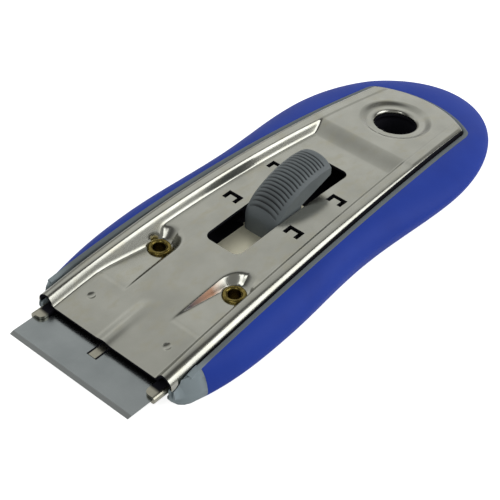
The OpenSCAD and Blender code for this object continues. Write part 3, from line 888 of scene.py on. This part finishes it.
def nickel_plate():
    f = new_finish("nickel_plate")
    x, y = f.axis("X"), f.axis("Y").size()
    cloud = f.span(f.noise(9 * mm, detail=3), 0.3, 0.7)
    stain = f.span(f.noise(5 * mm, (1, 1.6, 1), detail=4, rough=0.6), 0.5, 0.72)
    rolled = f.noise(0.4 * mm, (0.02, 1, 1), detail=2)
    speck = f.span(f.noise(0.5 * mm, detail=2), 0.64, 0.76)
    rub = f.span(f.noise(0.7 * mm, (0.12, 1, 1), detail=3), 0.66, 0.8)
    colour = f.mix(cloud, (0.440, 0.442, 0.396), (0.378, 0.380, 0.340))
    colour = f.mix(stain * 0.7, colour, (0.405, 0.393, 0.315))
    colour = f.mix(speck * 0.12 + rub * 0.14, colour, (0.27, 0.265, 0.24))
    facing = f.node("ShaderNodeTexCoord", {}, {}, out="Normal")
    upright = f.node("ShaderNodeSeparateXYZ", {}, {0: facing}, out=1).size()
    upward = f.node("ShaderNodeSeparateXYZ", {}, {0: facing}, out=2)
    # Painted shade and painted reflection: the pockets' steep inner walls are tinted near-black at the tip,
    # turning copper further back
    painted_reflection_wall = between(f, x, pocket_tip - 2 * mm, eyelet_cx - 1 * mm, 2.5 * mm)
    painted_reflection_wall = painted_reflection_wall * between(f, y, eyelet_y - pocket_r, eyelet_y - 2.4 * mm, 0.3 * mm)
    painted_reflection_wall = painted_reflection_wall * f.span(upright, 0.35, 0.6)
    painted_reflection = f.mix(f.span(x, *painted_reflection_run), (0.030, 0.028, 0.032), (0.150, 0.086, 0.056))
    colour = f.mix(painted_reflection_wall, colour, painted_reflection)
    rough = 0.17 + cloud * 0.03 + rolled * 0.05 + stain * 0.03
    bump = f.bump(rolled * 0.3 + cloud * 3, 0.002 * mm, 0.08)
    # Painted shade: near-black on the outer band of the skirt and round the rear, and on every face that
    # turns sideways or down, such as the cut edges and the hole's collar; the skirt's front stretch is left
    # out
    skirt = f.span(y - plate_edge(f, x), *skirt_shade_band)
    round_rear = ((x - rear_x + rear_r) ** 2 + y * y) ** 0.5
    rear_skirt = f.span(round_rear - rear_r, *skirt_shade_band) * f.span(x, *rear_turn)
    bare = skirt * (1 - f.span(x, *skirt_bare))
    dark = most(f, most(f, skirt, rear_skirt), 1 - f.span(upward, 0.03, 0.1)) * (1 - bare)
    return f.shade(colour, rough, bump, dark, metallic=1.0)


def eyelet_brass():
    f = new_finish("eyelet_brass")
    tarnish = f.span(f.noise(1.2 * mm, detail=4), 0.4, 0.68)
    grain = f.noise(0.15 * mm)
    colour = f.mix(tarnish, (0.24, 0.19, 0.055), (0.11, 0.08, 0.02))
    return f.shade(colour, 0.24 + tarnish * 0.12, f.bump(grain, 0.01 * mm, 0.2), metallic=1.0)


def blade_steel():
    f = new_finish("blade_steel")
    ground = 1 - f.span(f.axis("X"), blade_low.x + 1.05 * mm, blade_low.x + 1.2 * mm)
    lines = f.noise(0.25 * mm, (1, 0.02, 1), detail=2)
    strokes = f.noise(0.2 * mm, (0.05, 1, 1), detail=2)
    cloud = f.span(f.noise(7 * mm, detail=3), 0.35, 0.68)
    colour = f.mix(cloud, (0.29, 0.315, 0.32), (0.26, 0.285, 0.29))
    colour = f.mix(ground, colour, (0.27, 0.284, 0.284))
    rough = 0.19 + lines * 0.06 + cloud * 0.04 + ground * 0.1
    height = lines * (1 - ground) + strokes * ground
    # Painted shade: a near-black frame round the blade's notch
    notch_shade = 1 - f.span(f.axis("Y").size(), notch_half + 0.02 * mm, notch_half + 0.05 * mm)
    notch_shade = notch_shade * f.span(f.axis("X"), notch_x - 0.05 * mm, notch_x - 0.02 * mm)
    return f.shade(colour, rough, f.bump(height, 0.006 * mm, 0.2), notch_shade, metallic=1.0)


def carrier_steel():
    f = new_finish("carrier_steel")
    cloud = f.span(f.noise(3 * mm, detail=4), 0.35, 0.68)
    rolled = f.noise(0.35 * mm, (0.05, 1, 1), detail=2)
    colour = f.mix(cloud, (0.40, 0.39, 0.32), (0.34, 0.33, 0.27))
    # Painted shade: near-black on a band along each side within 5 mm of the blade's edge, from the fold
    # rearwards, and on a strip along each side of the notch's nib
    hem_shade = f.span(f.axis("X"), front_x - fold_in - 0.5 * mm, front_x - fold_in + 0.4 * mm)
    hem_shade = hem_shade * between(f, f.axis("Y").size(), blade_high.y - 5 * mm, blade_high.y + 0.2 * mm, 0.2 * mm)
    nib_shade = between(f, f.axis("Y").size(), notch_half - 0.5 * mm, notch_half, 0.08 * mm)
    nib_shade = nib_shade * between(f, f.axis("X"), notch_x - 1 * mm, blade_high.x, 0.1 * mm)
    return f.shade(colour, 0.26 + rolled * 0.1, f.bump(rolled, 0.004 * mm, 0.2), hem_shade + nib_shade, metallic=1.0)


def leaf_steel():
    f = new_finish("leaf_steel")
    cloud = f.span(f.noise(5 * mm, detail=4), 0.35, 0.68)
    rolled = f.noise(0.35 * mm, (0.05, 1, 1), detail=2)
    colour = f.mix(cloud, (0.95, 0.92, 0.72), (0.86, 0.83, 0.64))
    # Painted shade: the leaf is near-black beyond its middle width, over the lugs
    lug_shade = f.span(f.axis("Y").size(), leaf_half - 0.1 * mm, leaf_half + 0.1 * mm)
    return f.shade(colour, 0.38 + rolled * 0.1, f.bump(rolled, 0.004 * mm, 0.2), lug_shade, metallic=0.5)


def blue_rubber():
    f = new_finish("blue_rubber")
    grain = f.noise(0.22 * mm, detail=3)
    cloud = f.span(f.noise(14 * mm, detail=3), 0.35, 0.68)
    scuff = f.span(f.noise(1.6 * mm, (0.25, 1, 1), detail=4), 0.64, 0.76)
    colour = f.mix(cloud, (0.026, 0.068, 0.45), (0.022, 0.058, 0.40))
    colour = f.mix(scuff * 0.15, colour, (0.045, 0.085, 0.38))
    rough = 0.46 + grain * 0.1 + scuff * 0.06
    return f.shade(colour, rough, f.bump(grain, 0.02 * mm, 0.2), specular_ior_level=0.14)


def moulded_grey(f, light, dark):
    """The grain and rubbed patches of a grey moulding, as its colour and its roughness and bump."""
    grain = f.noise(0.16 * mm, detail=3)
    cloud = f.span(f.noise(8 * mm, detail=3), 0.35, 0.68)
    rub = f.span(f.noise(0.8 * mm, (0.3, 1, 1), detail=4), 0.64, 0.78)
    colour = f.mix(cloud, light, dark)
    colour = f.mix(rub * 0.12, colour, tuple(c * 1.4 for c in light))
    return colour, 0.42 + grain * 0.12, f.bump(grain, 0.015 * mm, 0.2)


def core_plastic():
    f = new_finish("core_plastic")
    colour, rough, bump = moulded_grey(f, (0.34, 0.405, 0.43), (0.31, 0.37, 0.395))
    x, y, z = f.axis("X"), f.axis("Y").size(), f.axis("Z")
    # Painted shade: near-black on the core's inside, under the plate's outline and above its foot, except at
    # the rear
    inset = f.span(x, front_x + 6 * mm, front_x + 12 * mm, 2.8 * mm, 0.1 * mm)
    inside = f.span(plate_edge(f, x) - y - inset, 0, 0.4 * mm) * f.span(z, 0.4 * mm, 1.2 * mm)
    inside = inside * (1 - f.span(x, *rear_turn))
    # Painted shade: the lip behind the noses is darkened about halfway towards black
    shaded_lip_colour = f.mix(0.52, colour, (0.02, 0.02, 0.02))
    colour = f.mix(f.span(x, front_x + 7 * mm, front_x + 12 * mm), colour, shaded_lip_colour)
    return f.shade(colour, rough, bump, inside, specular_ior_level=0.2)


def slide_plastic():
    f = new_finish("slide_plastic")
    colour, rough, bump = moulded_grey(f, (0.165, 0.190, 0.200), (0.147, 0.169, 0.178))
    across = f.axis("X") - slide_arch_x
    up = f.axis("Z") - slide_arch_z
    share = f.axis("Y").size() / slide_half
    run = {"Value": f.axis("X"), "From Min": crown_from, "From Max": crown_to, "To Max": crown_h}
    crown = f.node("ShaderNodeMapRange", {"interpolation_type": "SMOOTHSTEP"}, run)
    high = (across * across + up * up) ** 0.5 - slide_arch_r - crown + share ** crown_power * crown_fall
    # Painted shade: the cross grooves of the ribbed panel are darkened to near-black, behind the smooth front
    groove_shade = 1 - f.span(high, -groove_h, -0.1 * mm)
    panel = f.span(panel_half - f.axis("Y").size(), 0, 0.2 * mm)
    front = f.span(f.axis("X"), slide_front + 1.6 * mm, slide_front + 2.0 * mm)
    colour = f.mix(groove_shade * panel * front, colour, (0.035, 0.038, 0.040))
    return f.shade(colour, rough, bump, specular_ior_level=0.4)


# Stage

def pale_floor():
    put_down()
    bpy.ops.mesh.primitive_plane_add(size=6)
    floor = named("floor")
    f = new_finish("pale_floor")
    seen = f.node("ShaderNodeLightPath", {}, {}, out=0)
    mirrored = f.node("ShaderNodeLightPath", {}, {}, out=3)
    through = f.node("ShaderNodeLightPath", {}, {}, out=6)
    drift = f.span(f.noise(400 * mm), 0.3, 0.7, 0.86, 0.88)
    colour = f.node("ShaderNodeCombineColor", {}, {0: drift, 1: drift, 2: drift})
    matt = f.node("ShaderNodeBsdfDiffuse", {}, {"Color": colour})
    strength = seen * 0.85 + (mirrored + through) * 0.3
    glow = f.node("ShaderNodeEmission", {}, {"Color": (1, 1, 1, 1), "Strength": strength})
    both = f.node("ShaderNodeAddShader", {}, {0: matt, 1: glow})
    f.node("ShaderNodeOutputMaterial", {}, {"Surface": both})
    floor.data.materials.append(f.owner)


def lamp(name, way, distance, size, power, aim=(0, 0, 8 * mm)):
    put_down()
    bpy.ops.object.light_add(type="AREA")
    light = bpy.context.object
    light.name = name
    light.data.shape = "RECTANGLE"
    light.data.size, light.data.size_y = size
    light.data.energy = power
    back = Vector(way).normalized()
    turn = back.to_track_quat("Z", "Y").to_matrix().to_4x4()
    light.matrix_world = Matrix.Translation(Vector(aim) + back * distance) @ turn
    return light


def studio():
    """A sky that is bright low behind the far side and dark behind the camera, and two lamps."""
    scene.world = bpy.data.worlds.new("studio")
    sky = Finish(scene.world)
    way = sky.node("ShaderNodeTexCoord", {}, {}, out="Generated")
    toward = sky.node("ShaderNodeVectorMath", {"operation": "DOT_PRODUCT"}, {0: way, 1: sky_way}, out="Value")
    stops = [((dot + 1) / 2, (level, level, level * 0.98)) for dot, level in sky_levels]
    colour = sky.node("ShaderNodeValToRGB", {"stops": stops}, {0: toward * 0.5 + 0.5})
    shine = sky.node("ShaderNodeBackground", {}, {"Color": colour, "Strength": 1.0})
    sky.node("ShaderNodeOutputWorld", {}, {"Surface": shine})
    lamp("soft_box", *soft_box)
    lamp("top_box", *top_box)


def photo_camera():
    level = math.cos(view_rise)
    back = Vector((math.sin(view_turn) * level, -math.cos(view_turn) * level, math.sin(view_rise)))
    right = Vector((math.cos(view_turn), math.sin(view_turn), 0))
    up = back.cross(right)
    right, up = (right * math.cos(view_roll) + up * math.sin(view_roll),
                 up * math.cos(view_roll) - right * math.sin(view_roll))
    put_down()
    bpy.ops.object.camera_add()
    camera = bpy.context.object
    camera.name = "photo_camera"
    turn = Matrix((right, up, back)).transposed().to_4x4()
    camera.matrix_world = Matrix.Translation(camera_place) @ turn
    camera.data.sensor_fit = "HORIZONTAL"
    camera.data.sensor_width = 36
    camera.data.lens = camera_lens
    camera.data.clip_start = 0.01
    scene.camera = camera


def dress(piece, material):
    piece.data.materials.clear()
    piece.data.materials.append(material)


def coat_node(name, material):
    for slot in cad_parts[name].material_slots:
        slot.material = material


def fit(piece, body, node, material):
    dress(piece, material)
    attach(piece, body)
    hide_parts(node)


scene.view_settings.view_transform = "Standard"
photo_camera()
studio()
pale_floor()

fit(pressed_plate(), "handle", "top_plate", nickel_plate())
fit(soft_grip(), "handle", "soft_grip", blue_rubber())
fit(moulded_core(), "handle", "handle_core", core_plastic())
fit(thumb_slide(), "latch", "thumb_slide", slide_plastic())
coat_node("front_eyelets", eyelet_brass())
coat_node("blade", blade_steel())
coat_node("blade_carrier", carrier_steel())
leaf = leaf_steel()
coat_node("latch_spring", leaf)
coat_node("spring_rivets", leaf)

put_down()
bpy.context.view_layer.update()
